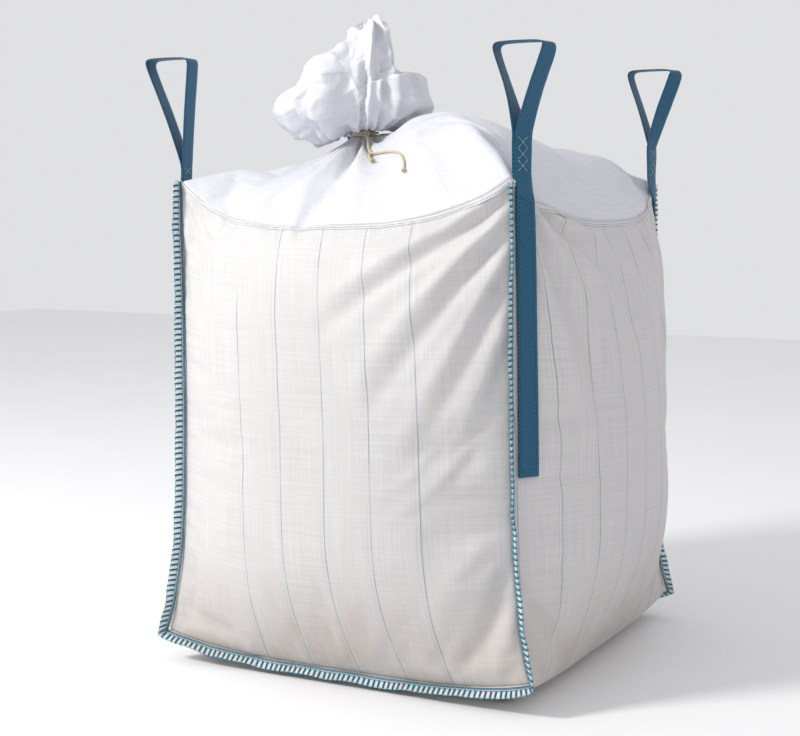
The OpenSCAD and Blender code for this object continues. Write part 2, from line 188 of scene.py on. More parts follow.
def coords(ob):
    co = np.empty(len(ob.data.vertices) * 3)
    ob.data.vertices.foreach_get("co", co)
    return co.reshape(-1, 3)


def set_coords(ob, co):
    ob.data.vertices.foreach_set("co", np.ascontiguousarray(co, float).ravel())
    ob.data.update()


def apply_all(ob):
    deps = bpy.context.evaluated_depsgraph_get()
    new = bpy.data.meshes.new_from_object(ob.evaluated_get(deps), depsgraph=deps)
    old = ob.data
    ob.modifiers.clear()
    ob.data = new
    bpy.data.meshes.remove(old)


def subdivide(ob):
    m = ob.modifiers.new("sub", "SUBSURF")
    m.levels = m.render_levels = 1
    m.boundary_smooth = "PRESERVE_CORNERS"
    apply_all(ob)


def thicken(ob, t, offset=-1.0):
    m = ob.modifiers.new("thick", "SOLIDIFY")
    m.thickness, m.offset, m.use_even_offset = t, offset, False
    apply_all(ob)


def relax(ob, pin, frames, grow, pressure, cap, bend=0.4, stiff=18.0):
    """Cloth simulation with the pinned points held; no point moves farther than cap."""
    start = coords(ob)
    group = ob.vertex_groups.new(name="pin")
    for level in np.unique(pin[pin > 0]):
        group.add(np.nonzero(pin == level)[0].tolist(), float(level), "REPLACE")
    m = ob.modifiers.new("cloth", "CLOTH")
    c = m.settings
    c.quality, c.mass, c.air_damping = 5, 0.3, 2.0
    c.tension_stiffness = c.compression_stiffness = stiff
    c.shear_stiffness, c.bending_stiffness = stiff * 0.4, bend
    c.tension_damping = c.compression_damping = c.shear_damping = 8
    c.vertex_group_mass, c.pin_stiffness = "pin", 1.0
    c.use_pressure, c.uniform_pressure_force = True, pressure
    c.shrink_min = -grow
    c.effector_weights.gravity = 0
    m.collision_settings.use_collision = False
    m.collision_settings.use_self_collision = False
    m.point_cache.frame_start, m.point_cache.frame_end = 1, frames
    for f in range(1, frames + 1):
        scene.frame_set(f)
    deps = bpy.context.evaluated_depsgraph_get()
    ev = ob.evaluated_get(deps)
    co = np.empty(len(ev.data.vertices) * 3)
    ev.data.vertices.foreach_get("co", co)
    ob.modifiers.clear()
    scene.frame_set(1)
    move = co.reshape(-1, 3) - start
    move[~np.isfinite(move).all(1)] = 0
    far = np.linalg.norm(move, axis=1)
    k = np.where(far > 1e-9, cap * np.tanh(far / cap) / np.maximum(far, 1e-9), 1)
    set_coords(ob, start + move * k[:, None])


def waves(x, n, seed, lo=1.0, hi=6.0):
    """Smooth repeatable noise of one variable, about -1..1."""
    g = np.random.default_rng(seed)
    out = np.zeros_like(np.asarray(x, float))
    for _ in range(n):
        out = out + g.uniform(0.5, 1) * np.sin(g.uniform(lo, hi) * x + g.uniform(0, 6.28))
    return out / (0.55 * n**0.5 + 0.45)


def waves3(p, scale, seed, n=10):
    g = np.random.default_rng(seed)
    out = np.zeros(p.shape[:-1])
    for _ in range(n):
        d = unit(g.normal(size=3)) * g.uniform(0.6, 1.4) * 6.28 / scale
        out += np.sin(p @ d + g.uniform(0, 6.28))
    return out / n**0.5


def tube(path, radius, sides=6, closed=False, up=(0.0, 0.0, 1.0)):
    """Vertices and faces of a swept round bar; radius may vary along the path."""
    path = np.asarray(path, float)
    n = len(path)
    rad = np.broadcast_to(np.asarray(radius, float), (n,))
    t = unit(np.roll(path, -1, 0) - np.roll(path, 1, 0)) if closed else unit(np.gradient(path, axis=0))
    a = np.zeros_like(t)
    ref = np.asarray(up, float)
    if abs(ref @ t[0]) > 0.95:
        ref = np.array([1.0, 0.2, 0.1])
    for i in range(n):
        v = ref - t[i] * (ref @ t[i])
        a[i] = v / np.linalg.norm(v)
        ref = a[i]
    b = np.cross(t, a)
    w = np.arange(sides) * 2 * math.pi / sides
    ring = path[:, None] + rad[:, None, None] * (a[:, None] * np.cos(w)[:, None] + b[:, None] * np.sin(w)[:, None])
    i = np.arange(n if closed else n - 1)[:, None]
    j = np.arange(sides)[None]
    k = (i + 1) % n
    q = np.stack([i * sides + j, i * sides + (j + 1) % sides, k * sides + (j + 1) % sides, k * sides + j], -1)
    faces = [list(f) for f in q.reshape(-1, 4)]
    if not closed:
        faces += [list(range(sides))[::-1], [(n - 1) * sides + x for x in range(sides)]]
    return ring.reshape(-1, 3), faces


def ring_faces(n, m):
    """Quads of a grid of n rows, each a closed ring of m points."""
    return [[i * m + j, i * m + (j + 1) % m, (i + 1) * m + (j + 1) % m, (i + 1) * m + j]
            for i in range(n - 1) for j in range(m)]


def join_parts(parts):
    verts, faces, at = [], [], 0
    for v, f in parts:
        verts.append(v)
        faces += [[x + at for x in g] for g in f]
        at += len(v)
    return np.concatenate(verts), faces


# ---- materials
class Nodes:
    """Small helper that writes one procedural material."""

    def __init__(self, name):
        self.mat = bpy.data.materials.new(name)
        self.mat.use_nodes = True
        self.t = self.mat.node_tree
        self.bsdf = self.t.nodes["Principled BSDF"]

    def node(self, kind, **values):
        n = self.t.nodes.new(kind)
        for k, v in values.items():
            setattr(n, k, v)
        return n

    def link(self, a, b):
        self.t.links.new(a, b)

    def math(self, op, a, b=None, c=None):
        n = self.node("ShaderNodeMath", operation=op)
        for i, v in enumerate((a, b, c)):
            if v is None:
                continue
            if isinstance(v, (int, float)):
                n.inputs[i].default_value = v
            else:
                self.link(v, n.inputs[i])
        return n.outputs[0]

    def mul(self, a, b):
        return self.math("MULTIPLY", a, b)

    def uv(self):
        n = self.node("ShaderNodeUVMap", uv_map="UVMap")
        s = self.node("ShaderNodeSeparateXYZ")
        self.link(n.outputs[0], s.inputs[0])
        return n.outputs[0], s.outputs[0], s.outputs[1]

    def place(self):
        n = self.node("ShaderNodeTexCoord")
        s = self.node("ShaderNodeSeparateXYZ")
        self.link(n.outputs["Object"], s.inputs[0])
        return n.outputs["Object"], s.outputs[2]

    def scaled(self, vec, x, y, z=1.0):
        n = self.node("ShaderNodeMapping")
        n.inputs["Scale"].default_value = (x, y, z)
        self.link(vec, n.inputs["Vector"])
        return n.outputs[0]

    def noise(self, vec, scale, detail=2.0, rough=0.5):
        n = self.node("ShaderNodeTexNoise")
        n.inputs["Scale"].default_value = scale
        n.inputs["Detail"].default_value = detail
        n.inputs["Roughness"].default_value = rough
        self.link(vec, n.inputs["Vector"])
        return n.outputs[0]

    def ramp(self, fac, lo, hi, a=0.0, b=1.0):
        n = self.node("ShaderNodeMapRange", interpolation_type="SMOOTHSTEP")
        for i, v in zip(("From Min", "From Max", "To Min", "To Max"), (lo, hi, a, b)):
            n.inputs[i].default_value = v
        self.link(fac, n.inputs["Value"])
        return n.outputs[0]

    def blend(self, fac, a, b):
        n = self.node("ShaderNodeMix", data_type="RGBA")
        self.link(fac, n.inputs[0])
        for i, v in ((6, a), (7, b)):
            if isinstance(v, tuple):
                n.inputs[i].default_value = (*v, 1.0)
            else:
                self.link(v, n.inputs[i])
        return n.outputs[2]

    def bump(self, height, strength, distance, normal=None):
        n = self.node("ShaderNodeBump")
        n.inputs["Strength"].default_value = strength
        n.inputs["Distance"].default_value = distance
        self.link(height, n.inputs["Height"])
        if normal is not None:
            self.link(normal, n.inputs["Normal"])
        return n.outputs[0]

    def done(self, colour, rough, normal, spec=0.4, sheen=0.0):
        self.link(colour, self.bsdf.inputs["Base Color"])
        self.link(rough, self.bsdf.inputs["Roughness"])
        self.link(normal, self.bsdf.inputs["Normal"])
        self.bsdf.inputs["Specular IOR Level"].default_value = spec
        self.bsdf.inputs["Sheen Weight"].default_value = sheen
        return self.mat


def weave(m, u, v, pitch, pitch_v=None):
    """Over and under pattern of flat tapes."""
    a = m.math("SINE", m.mul(u, 2 * math.pi / pitch))
    b = m.math("SINE", m.mul(v, 2 * math.pi / (pitch_v or pitch)))
    return m.math("MULTIPLY_ADD", m.mul(a, b), 0.5, 0.5)


def tapes(m, vec, fine, long):
    """Streaks along both directions of the weave, fine across and long along each tape."""
    warp = m.noise(m.scaled(vec, fine, long), 1.0, 2)
    weft = m.noise(m.scaled(vec, long, fine), 1.0, 2)
    return m.math("ADD", m.mul(warp, 0.5), m.mul(weft, 0.5))


def woven_cloth(name, colour, shade, yarns=True, dirt_and_low_shade=True, seed=0.0, rough=0.56):
    m = Nodes(name)
    vec, u, v = m.uv()
    obj, z = m.place()
    tape = tapes(m, vec, 330, 5)
    col = m.blend(m.ramp(tape, 0.36, 0.66), shade, colour)
    cloudy = m.noise(obj, 2.6 + seed, 4, 0.6)
    col = m.blend(m.ramp(cloudy, 0.35, 0.75, 0.0, 0.30), col, (0.56, 0.53, 0.535))
    if dirt_and_low_shade:
        # darker and browner towards the bottom, below 0.36 m: partly stains shaped by the noise, partly painted
        # shade standing in for the floor's shadow on the lower walls
        stain = m.noise(m.scaled(obj, 1, 1, 0.45), 7.0, 5, 0.62)
        low = m.mul(m.ramp(z, 0.36, 0.0, 0.0, 1.0), m.ramp(stain, 0.28, 0.72, 0.30, 1.0))
        col = m.blend(m.mul(low, 0.62), col, (0.40, 0.325, 0.265))
        speck = m.noise(obj, 60.0, 3, 0.7)
        col = m.blend(m.ramp(speck, 0.70, 0.80, 0.0, 0.22), col, (0.36, 0.30, 0.25))
    if yarns:
        wob = m.mul(m.noise(m.scaled(vec, 0.5, 3.0), 1.0, 1), 0.010)
        pos = m.math("DIVIDE", m.math("ADD", u, wob), YARN)
        near = m.math("ABSOLUTE", m.math("SUBTRACT", m.math("FRACT", pos), 0.5))
        main = m.ramp(near, 0.0145, 0.0085, 0.0, 0.85)
        twin = m.math("ABSOLUTE", m.math("SUBTRACT", m.math("FRACT", m.math("ADD", pos, 0.085)), 0.5))
        main = m.math("MAXIMUM", main, m.ramp(twin, 0.010, 0.004, 0.0, 0.22))
        where = m.node("ShaderNodeAttribute", attribute_name="yarn").outputs["Fac"]
        fade = m.ramp(m.noise(vec, 9.0, 2), 0.30, 0.62, 0.45, 1.0)
        col = m.blend(m.mul(m.mul(main, where), fade), col, (0.22, 0.27, 0.33))
    fine = weave(m, u, v, 0.0052)
    normal = m.bump(fine, 0.30, 0.0004)
    normal = m.bump(tape, 0.35, 0.0008, normal)
    normal = m.bump(m.noise(m.scaled(obj, 1, 1, 0.6), 34.0, 4, 0.6), 0.30, 0.004, normal)
    r = m.math("MULTIPLY_ADD", tape, 0.22, rough - 0.11)
    return m.done(col, r, normal, spec=0.35, sheen=0.12)


def duffle_cloth(name):
    m = Nodes(name)
    vec, u, v = m.uv()
    obj = m.place()[0]
    tape = tapes(m, vec, 260, 6)
    cloudy = m.noise(obj, 4.2, 4, 0.6)
    col = m.blend(m.ramp(tape, 0.36, 0.66), (0.63, 0.635, 0.68), (0.70, 0.705, 0.74))
    col = m.blend(m.ramp(cloudy, 0.38, 0.72, 0.0, 0.45), col, (0.60, 0.595, 0.67))
    crease = m.noise(m.scaled(obj, 1, 1, 1.4), 26.0, 5, 0.66)
    normal = m.bump(weave(m, u, v, 0.0050), 0.18, 0.0003)
    normal = m.bump(crease, 0.45, 0.006, normal)
    r = m.math("MULTIPLY_ADD", cloudy, 0.20, 0.36)
    return m.done(col, r, normal, spec=0.45, sheen=0.05)


def webbing(name):
    m = Nodes(name)
    vec, u, v = m.uv()
    obj = m.place()[0]
    cell = weave(m, u, v, 0.0072, 0.0090)
    lit = m.ramp(cell, 0.30, 0.78)
    col = m.blend(lit, (0.004, 0.050, 0.102), (0.012, 0.138, 0.256))
    col = m.blend(m.ramp(m.noise(obj, 22.0, 4, 0.6), 0.35, 0.75, 0.0, 0.45), col, (0.008, 0.088, 0.170))
    col = m.blend(m.ramp(m.noise(m.scaled(vec, 700, 120), 1.0, 2), 0.62, 0.80, 0.0, 0.30), col, (0.08, 0.29, 0.40))
    normal = m.bump(cell, 0.75, 0.0011)
    normal = m.bump(m.noise(obj, 300.0, 2), 0.25, 0.0005, normal)
    r = m.math("MULTIPLY_ADD", cell, -0.15, 0.66)
    return m.done(col, r, normal, spec=0.35, sheen=0.10)


def thread(name, colour, dark, scale=420.0, rough=0.6):
    m = Nodes(name)
    obj = m.place()[0]
    grain = m.noise(obj, scale, 3, 0.6)
    wide = m.noise(obj, 14.0, 3, 0.6)
    col = m.blend(m.ramp(grain, 0.36, 0.64), dark, colour)
    col = m.blend(m.ramp(wide, 0.40, 0.75, 0.0, 0.35), col, dark)
    normal = m.bump(grain, 0.55, 0.0008)
    return m.done(col, m.math("MULTIPLY_ADD", grain, 0.2, rough - 0.1), normal, spec=0.35, sheen=0.08)


def product(name):
    m = Nodes(name)
    obj = m.place()[0]
    grain = m.noise(obj, 260.0, 3, 0.7)
    col = m.blend(m.ramp(grain, 0.3, 0.7), (0.30, 0.24, 0.17), (0.55, 0.46, 0.34))
    return m.done(col, m.math("MULTIPLY_ADD", grain, 0.1, 0.8), m.bump(grain, 0.8, 0.002), spec=0.2)


def floor_paint(name):
    m = Nodes(name)
    obj = m.place()[0]
    n = m.noise(obj, 3.0, 3)
    col = m.blend(n, (0.86, 0.86, 0.865), (0.88, 0.88, 0.88))
    return m.done(col, m.math("MULTIPLY_ADD", n, 0.05, 0.85), m.bump(n, 0.02, 0.001), spec=0.15)


CLOTH = woven_cloth("woven_cloth", (0.635, 0.62, 0.615), (0.55, 0.535, 0.535))
FIN = woven_cloth("seam_cloth", (0.80, 0.84, 0.86), (0.68, 0.73, 0.76), yarns=False, seed=3.0)
HEM = woven_cloth("hem_cloth", (0.68, 0.67, 0.67), (0.60, 0.59, 0.595), yarns=False, dirt_and_low_shade=False, seed=5.0)
DUFFLE = duffle_cloth("duffle_cloth")
WEB = webbing("webbing")
THREAD = thread("seam_thread", (0.030, 0.190, 0.270), (0.010, 0.075, 0.120))
PALE = thread("looper_thread", (0.30, 0.52, 0.60), (0.12, 0.30, 0.38))
WHITE = thread("tack_thread", (0.50, 0.60, 0.62), (0.24, 0.36, 0.40))
CORD = thread("tie_cord", (0.66, 0.60, 0.41), (0.40, 0.34, 0.20), scale=360.0, rough=0.7)
PRODUCT = product("product")

# ---- the cloth of the bag
N = 72                                                    # cells along each wall
ROWS = 84
T = np.linspace(0, 1, ROWS + 1)
M = np.array([0.975, 0.95, 0.92, 0.885, 0.85, 0.81, 0.76, 0.60, 0.40, 0.20])
R = 1 - np.linspace(0, 1, 41)[1:] ** 0.92
RING = 4 * N
FACE = np.repeat(np.arange(4), N)
SS = np.tile(-1 + 2 * np.arange(N) / N, 4)

# Folds as [face, points (s, t), width, height]; a valley has a height below zero.
FOLDS = [
    (0, [(0.98, 1.00), (0.62, 0.95), (0.30, 0.86), (0.06, 0.77)], 0.026, 0.010),
    (0, [(0.97, 0.97), (0.60, 0.90), (0.28, 0.80), (0.02, 0.70)], 0.024, -0.012),
    (0, [(0.98, 0.95), (0.76, 0.87), (0.50, 0.74), (0.24, 0.58)], 0.024, 0.012),
    (0, [(0.98, 0.91), (0.79, 0.82), (0.56, 0.68), (0.32, 0.53)], 0.020, -0.012),
    (0, [(0.98, 0.88), (0.86, 0.77), (0.68, 0.63), (0.50, 0.47)], 0.019, 0.011),
    (0, [(0.98, 0.83), (0.89, 0.72), (0.74, 0.58), (0.57, 0.43)], 0.018, -0.012),
    (0, [(0.985, 0.77), (0.92, 0.65), (0.80, 0.51), (0.64, 0.38)], 0.018, 0.010),
    (0, [(0.985, 0.70), (0.94, 0.59), (0.84, 0.46), (0.70, 0.33)], 0.020, -0.011),
    (0, [(0.88, 0.50), (0.72, 0.42), (0.52, 0.35)], 0.011, 0.004),
    (0, [(0.80, 0.45), (0.62, 0.37), (0.40, 0.31)], 0.010, 0.004),
    (0, [(0.70, 0.48), (0.56, 0.41), (0.38, 0.37)], 0.010, 0.004),
    (0, [(0.98, 0.24), (0.88, 0.12), (0.74, 0.02)], 0.026, -0.013),
    (0, [(0.99, 0.15), (0.93, 0.07), (0.84, 0.01)], 0.020, 0.008),
    (0, [(0.90, 0.30), (0.72, 0.18), (0.52, 0.05)], 0.034, 0.007),
    (0, [(-0.97, 0.98), (-0.82, 0.84), (-0.66, 0.64)], 0.018, -0.005),
    (0, [(-0.98, 0.94), (-0.88, 0.74), (-0.76, 0.50)], 0.018, 0.005),
    (0, [(-0.98, 0.88), (-0.92, 0.66), (-0.84, 0.42)], 0.016, -0.004),
    (0, [(-0.96, 0.99), (-0.74, 0.90), (-0.52, 0.80)], 0.018, 0.005),
    (1, [(-0.86, 0.99), (-0.70, 0.88), (-0.50, 0.70), (-0.34, 0.48)], 0.022, 0.011),
    (1, [(-0.86, 0.94), (-0.74, 0.82), (-0.58, 0.64), (-0.44, 0.44)], 0.020, -0.011),
    (1, [(-0.86, 0.86), (-0.78, 0.72), (-0.66, 0.56), (-0.56, 0.36)], 0.018, 0.008),
    (1, [(-0.84, 0.99), (-0.55, 0.93), (-0.25, 0.82), (0.00, 0.66)], 0.022, -0.010),
    (1, [(-0.80, 1.00), (-0.45, 0.96), (-0.10, 0.87), (0.20, 0.72)], 0.022, 0.009),
    (1, [(0.86, 0.97), (0.66, 0.86), (0.46, 0.66), (0.34, 0.46)], 0.024, 0.009),
    (1, [(0.86, 0.90), (0.70, 0.76), (0.56, 0.56), (0.46, 0.38)], 0.020, -0.009),
    (1, [(0.52, 1.00), (0.50, 0.90), (0.44, 0.80)], 0.016, -0.012),
    (1, [(0.46, 1.00), (0.43, 0.91), (0.36, 0.80)], 0.014, 0.009),
    (1, [(-0.96, 0.16), (-0.80, 0.09), (-0.58, 0.02)], 0.024, -0.010),
    (2, [(0.98, 0.99), (0.64, 0.91), (0.30, 0.78)], 0.024, 0.010),
    (2, [(0.98, 0.94), (0.72, 0.82), (0.44, 0.62)], 0.022, -0.011),
    (2, [(0.98, 0.87), (0.82, 0.70), (0.62, 0.48)], 0.020, 0.009),
    (2, [(-0.98, 0.99), (-0.66, 0.92), (-0.34, 0.80)], 0.024, 0.010),
    (2, [(-0.98, 0.94), (-0.74, 0.83), (-0.48, 0.64)], 0.022, -0.011),
    (2, [(-0.98, 0.86), (-0.86, 0.68), (-0.70, 0.46)], 0.018, 0.008),
    (2, [(-0.97, 0.22), (-0.86, 0.10), (-0.70, 0.02)], 0.026, -0.010),
    (3, [(0.84, 0.99), (0.66, 0.88), (0.44, 0.68), (0.30, 0.48)], 0.022, 0.010),
    (3, [(0.84, 0.93), (0.70, 0.78), (0.56, 0.58), (0.46, 0.40)], 0.020, -0.010),
    (3, [(-0.84, 0.98), (-0.62, 0.90), (-0.34, 0.74), (-0.14, 0.56)], 0.024, 0.010),
    (3, [(-0.84, 0.91), (-0.68, 0.78), (-0.48, 0.60), (-0.34, 0.42)], 0.020, -0.010),
    (3, [(0.96, 0.18), (0.82, 0.10), (0.60, 0.02)], 0.024, -0.009),
]


def fold_height(f, s, t):
    """Sum of the folds of one face at arrays s, t."""
    x, z = s * HALF_W, t * HIGH
    out = np.zeros_like(x)
    for face, pts, width, height in FOLDS:
        if face != f:
            continue
        p = np.array([(a * HALF_W, b * HIGH) for a, b in pts])
        fine = np.concatenate([np.linspace(p[i], p[i + 1], 9)[:-1] for i in range(len(p) - 1)] + [p[-1:]])
        for _ in range(6):
            fine[1:-1] = (fine[:-2] + fine[1:-1] * 2 + fine[2:]) / 4
        best, along = np.full(x.shape, 9.0), np.zeros_like(x)
        n = len(fine) - 1
        for i in range(n):
            a, d = fine[i], fine[i + 1] - fine[i]
            k = np.clip(((x - a[0]) * d[0] + (z - a[1]) * d[1]) / (d @ d), 0, 1)
            dist = np.hypot(x - a[0] - k * d[0], z - a[1] - k * d[1])
            near = dist < best
            best, along = np.where(near, dist, best), np.where(near, (i + k) / n, along)
        w = width * (0.55 + 0.75 * along)
        height *= (1.35, 1.6, 1.2, 1.2)[f]
        out += height * bell(best, w) * np.clip(1 - along, 0, 1) ** 0.55 * smooth(along, -0.05, 0.12)
    return out


def fade_in(r, width):
    """1 at the neck, falling off towards the rim."""
    return math.exp(-((r / width) ** 2))


def bag_cloth():
    """One welded skin: walls, base and duffle skirt. Returns the object, whose part attribute tells what each face
    is, and its relaxed vertex positions.
    """
    rows = [wall(FACE, SS, t) for t in T]
    norm = [wall_n(FACE, SS, np.full(RING, t)) for t in T]
    tt = np.repeat(T[:, None], RING, 1)
    ss = np.repeat(SS[None], ROWS + 1, 0)
    p, n = np.stack(rows), np.stack(norm)
    h = np.zeros((ROWS + 1, RING))
    for f in range(4):
        c = FACE == f
        h[:, c] = fold_height(f, ss[:, c], tt[:, c])
    side = np.isin(FACE, (1, 3))[None]
    hold = np.where(side & (tt > LEG_FOOT - 0.05), smooth(np.abs(ss), 0.90, 0.83), smooth(np.abs(ss), 1.0, 0.95))
    edge = np.minimum((1 - np.abs(ss)) * HALF_W, np.minimum(tt, 1 - tt) * HIGH)
    along = np.where(edge < (1 - np.abs(ss)) * HALF_W, ss * HALF_W, tt * HIGH)
    pucker = waves(along * 6.28, 7, 5, 22, 44) * np.exp(-edge / 0.022) * smooth(edge, 0.0, 0.010)
    lumps = waves3(p, 0.34, 3) * 0.0030 + waves3(p, 0.13, 4) * 0.0010
    h = (h + lumps * smooth(edge, 0, 0.06)) * hold * smooth(tt, 0.0, 0.05) + 0.0022 * pucker * hold
    p = p + n * h[..., None]
    p[..., 2] = np.maximum(p[..., 2], 0.004)
    skirt = []
    for r in R:
        q, w = dome(FACE, SS, np.full(RING, r))
        jag = waves(w, 5, 21, 1, 4)
        front = bell(w + 1.30, 0.42)             # gathers run from the neck to the front rim
        big = np.cos(13 * w + 2.2 * jag) * (0.0060 * fade_in(r, 0.36) + 0.0045 * front * fade_in(r, 0.85))
        mid = np.cos(23 * w + 2.6 * jag) * (0.0040 * fade_in(r, 0.22) + 0.0028 * front * fade_in(r, 0.70))
        pleat = np.cos(31 * w + 3.0 * waves(w, 6, 22, 2, 7))
        fine = pleat * 0.0046 * fade_in(r, 0.13)
        wide = np.cos(5 * w + 1.1) * 0.006 * math.sin(math.pi * min(1, r * 1.25)) ** 2 * (r < 0.8)
        crisp = 0.013 * bell(w + 0.50 + 0.10 * (1 - r), 0.045) * smooth(r, 0.30, 0.80)
        crisp = crisp - 0.010 * bell(w + 0.62 + 0.06 * (1 - r), 0.050) * smooth(r, 0.35, 0.80)
        crisp = crisp + 0.008 * bell(w + 0.36 + 0.14 * (1 - r), 0.040) * smooth(r, 0.40, 0.80)
        fan = bell(w + 1.60, 0.09) + bell(w + 1.12, 0.08)
        fan = 0.009 * fan - 0.010 * bell(w + 1.36, 0.15)
        crisp = crisp + fan * smooth(r, 0.05, 0.22) * (1 - 0.5 * smooth(r, 0.6, 0.95))
        fade = smooth(r, 0.0, 0.03) * smooth(r, 1.0, 0.9)
        rough = waves3(q, 0.20, 23) * 0.004 + waves3(q, 0.075, 24) * 0.0012
        q[:, 2] += (big + mid + fine + wide + crisp + rough) * fade
        out = np.stack([np.cos(w), np.sin(w)], -1)
        q[:, :2] += out * ((pleat * 0.0030 - 0.003) * math.exp(-r / 0.05))[:, None]
        skirt.append(q)
    skirt = np.stack(skirt)
    floor = [base(FACE, SS, m) for m in M]
    verts = np.concatenate([p.reshape(-1, 3), skirt.reshape(-1, 3), np.concatenate(floor), [[0, 0, 0]]])
    faces, uv, part = [], [], []
    arc_s = np.linspace(-1, 1, N + 1)
    arc = np.concatenate([[0], np.cumsum(np.hypot(np.diff(arc_s) * 0.435, np.diff(-B_MID * np.abs(arc_s) ** 2.6)))])
    arc = arc - arc[-1] / 2
    start = np.array([0.119, 0.062, 0.119, 0.062])

    def cells(lo, hi, kind, v0, v1, flip=False):
        for k in range(RING):
            f, j, k2 = k // N, k % N, (k + 1) % RING
            quad = [lo + k, lo + k2, hi + k2, hi + k]
            if kind == 4:
                c = [verts[i][[1, 0]] + (start[1], 0) for i in quad]
            elif kind == 5:
                u0, u1 = k / RING * CUT_W, (k + 1) / RING * CUT_W
                c = [(u0, v0), (u1, v0), (u1, v1), (u0, v1)]
            else:
                d0, d1 = 0.045 * smooth(v0, 0.45, HIGH), 0.045 * smooth(v1, 0.45, HIGH)
                u0, u1 = arc[j] + start[f], arc[j + 1] + start[f]
                c = [(u0 + d0, v0), (u1 + d0, v0), (u1 + d1, v1), (u0 + d1, v1)]
            if flip:
                quad, c = quad[::-1], c[::-1]
            faces.append(quad)
            uv.extend(c)
            part.append(f if kind == 0 else kind)

    for i in range(ROWS):
        cells(i * RING, (i + 1) * RING, 0, T[i] * HIGH, T[i + 1] * HIGH)
    at, rr = (ROWS + 1) * RING, np.concatenate([[1], R])
    for i in range(len(R)):
        lo = ROWS * RING if i == 0 else at + (i - 1) * RING
        cells(lo, at + i * RING, 5, (1 - rr[i]) * 0.5, (1 - rr[i + 1]) * 0.5)
    at += len(R) * RING
    for i in range(len(M)):
        lo = 0 if i == 0 else at + (i - 1) * RING
        cells(lo, at + i * RING, 4, 0, 0, flip=True)
    last = at + (len(M) - 1) * RING
    for k in range(RING):
        tri = [last + (k + 1) % RING, last + k, len(verts) - 1]
        faces.append(tri)
        uv.extend([verts[i][[1, 0]] + (start[1], 0) for i in tri])
        part.append(4)
    ob = make("bag_skin", verts, faces, uv)
    # pins: seams, sewn legs, base, neck
    pin = np.zeros(len(verts))
    w = np.zeros((ROWS + 1, RING))
    w[np.abs(ss) > 0.999] = 1
    w[0] = 1
    w[side & (tt > LEG_FOOT - 0.01) & (np.abs(ss) > 0.885)] = 1
    w[-1, np.abs(SS) > 0.88] = 1
    pin[: w.size] = w.ravel()
    pin[(ROWS + 1) * RING + (len(R) - 2) * RING:] = 1
    relax(ob, pin, 14, 0.014, 1.2, 0.012)
    co = coords(ob)
    co[:, 2] = np.maximum(co[:, 2], 0.0)
    set_coords(ob, co)
    yarn = np.zeros(len(verts), np.float32)
    on = np.ones((ROWS + 1, RING), np.float32)
    for f in (0, 2):
        on[:, FACE == f] = ((SS > -0.50) & (SS < 0.70))[FACE == f]
    yarn[: on.size] = on.ravel()
    yarn[(ROWS + 1) * RING + len(R) * RING:] = 1
    layer = ob.data.attributes.new("yarn", "FLOAT", "POINT")
    layer.data.foreach_set("value", yarn)
    layer = ob.data.attributes.new("part", "INT", "FACE")
    layer.data.foreach_set("value", np.array(part, np.int32))
    return ob, co


def split(ob, name, kinds, mat):
    """A copy of the skin that keeps only the faces of these kinds."""
    me = ob.data.copy()
    new = bpy.data.objects.new(name, me)
    scene.collection.objects.link(new)
    part = np.empty(len(me.polygons), np.int32)
    me.attributes["part"].data.foreach_get("value", part)
    bm = bmesh.new()
    bm.from_mesh(me)
    bm.faces.ensure_lookup_table()
    drop = [bm.faces[i] for i in np.nonzero(~np.isin(part, kinds))[0]]
    bmesh.ops.delete(bm, geom=drop, context="FACES")
    bm.to_mesh(me)
    bm.free()
    me.materials.clear()
    me.materials.append(mat)
    return new


skin, skin_co = bag_cloth()
subdivide(skin)
pieces = {}
for name, kinds, mat, nodes, t in (
        ("front_panel_cloth", [0], CLOTH, ["front_panel"], 0.0009),
        ("rear_panel_cloth", [2], CLOTH, ["rear_panel"], 0.0009),
        ("u_sheet_cloth", [1, 3, 4], CLOTH, ["u_panel"], 0.0009),
        ("duffle_skirt_cloth", [5], DUFFLE, ["duffle_skirt"], 0.0007)):
    ob = split(skin, name, kinds, mat)
    thicken(ob, t)
    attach(ob, "bag")
    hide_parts(*nodes)
    pieces[name] = ob
bpy.data.objects.remove(skin)

# ---- seams
def fin_path(turn):
    """Points along the seam, the way the fin stands there and its front normal."""
    n = 240
    left = wall(0, -1.0, np.linspace(1, 0, n))
    low_s = np.linspace(-1, 1, n)
    pts = np.concatenate([left, wall(0, low_s, 0.0)[1:], left[::-1][1:] * (-1, 1, 1)])
    tt = np.concatenate([np.linspace(1, 0, n), np.zeros(n - 1), np.linspace(0, 1, n)[1:]])
    ss = np.concatenate([np.full(n, -1.0), low_s[1:], np.full(n - 1, 1.0)])
    ws, wb = np.exp(-(1 - np.abs(ss)) / 0.05), np.exp(-tt / 0.03)
    x = np.where(ss < 0, 0.62 - 0.57 * tt**3, mix(0.86, turn, np.minimum(1, tt / 0.5)))
    d = unit(ws[:, None] * np.stack([np.sign(ss) * x, -np.sqrt(1 - x * x), 0 * x], -1)
             + wb[:, None] * np.array([0, -0.80, -0.60]))
    long = np.concatenate([[0], np.cumsum(np.linalg.norm(np.diff(pts + d * 0.02, axis=0), axis=1))])
    at = np.arange(0, long[-1], FIN_STEP)
    pts = np.stack([np.interp(at, long, pts[:, i]) for i in range(3)], -1)
    d = unit(np.stack([np.interp(at, long, d[:, i]) for i in range(3)], -1))
    up = unit(np.cross(d, np.gradient(pts, axis=0)))
    sway = waves(at, 8, 31, 9, 60)
    d = unit(d + up * (0.10 * sway)[:, None])
    up = unit(np.cross(d, np.gradient(pts, axis=0)))
    return pts, d, up, at


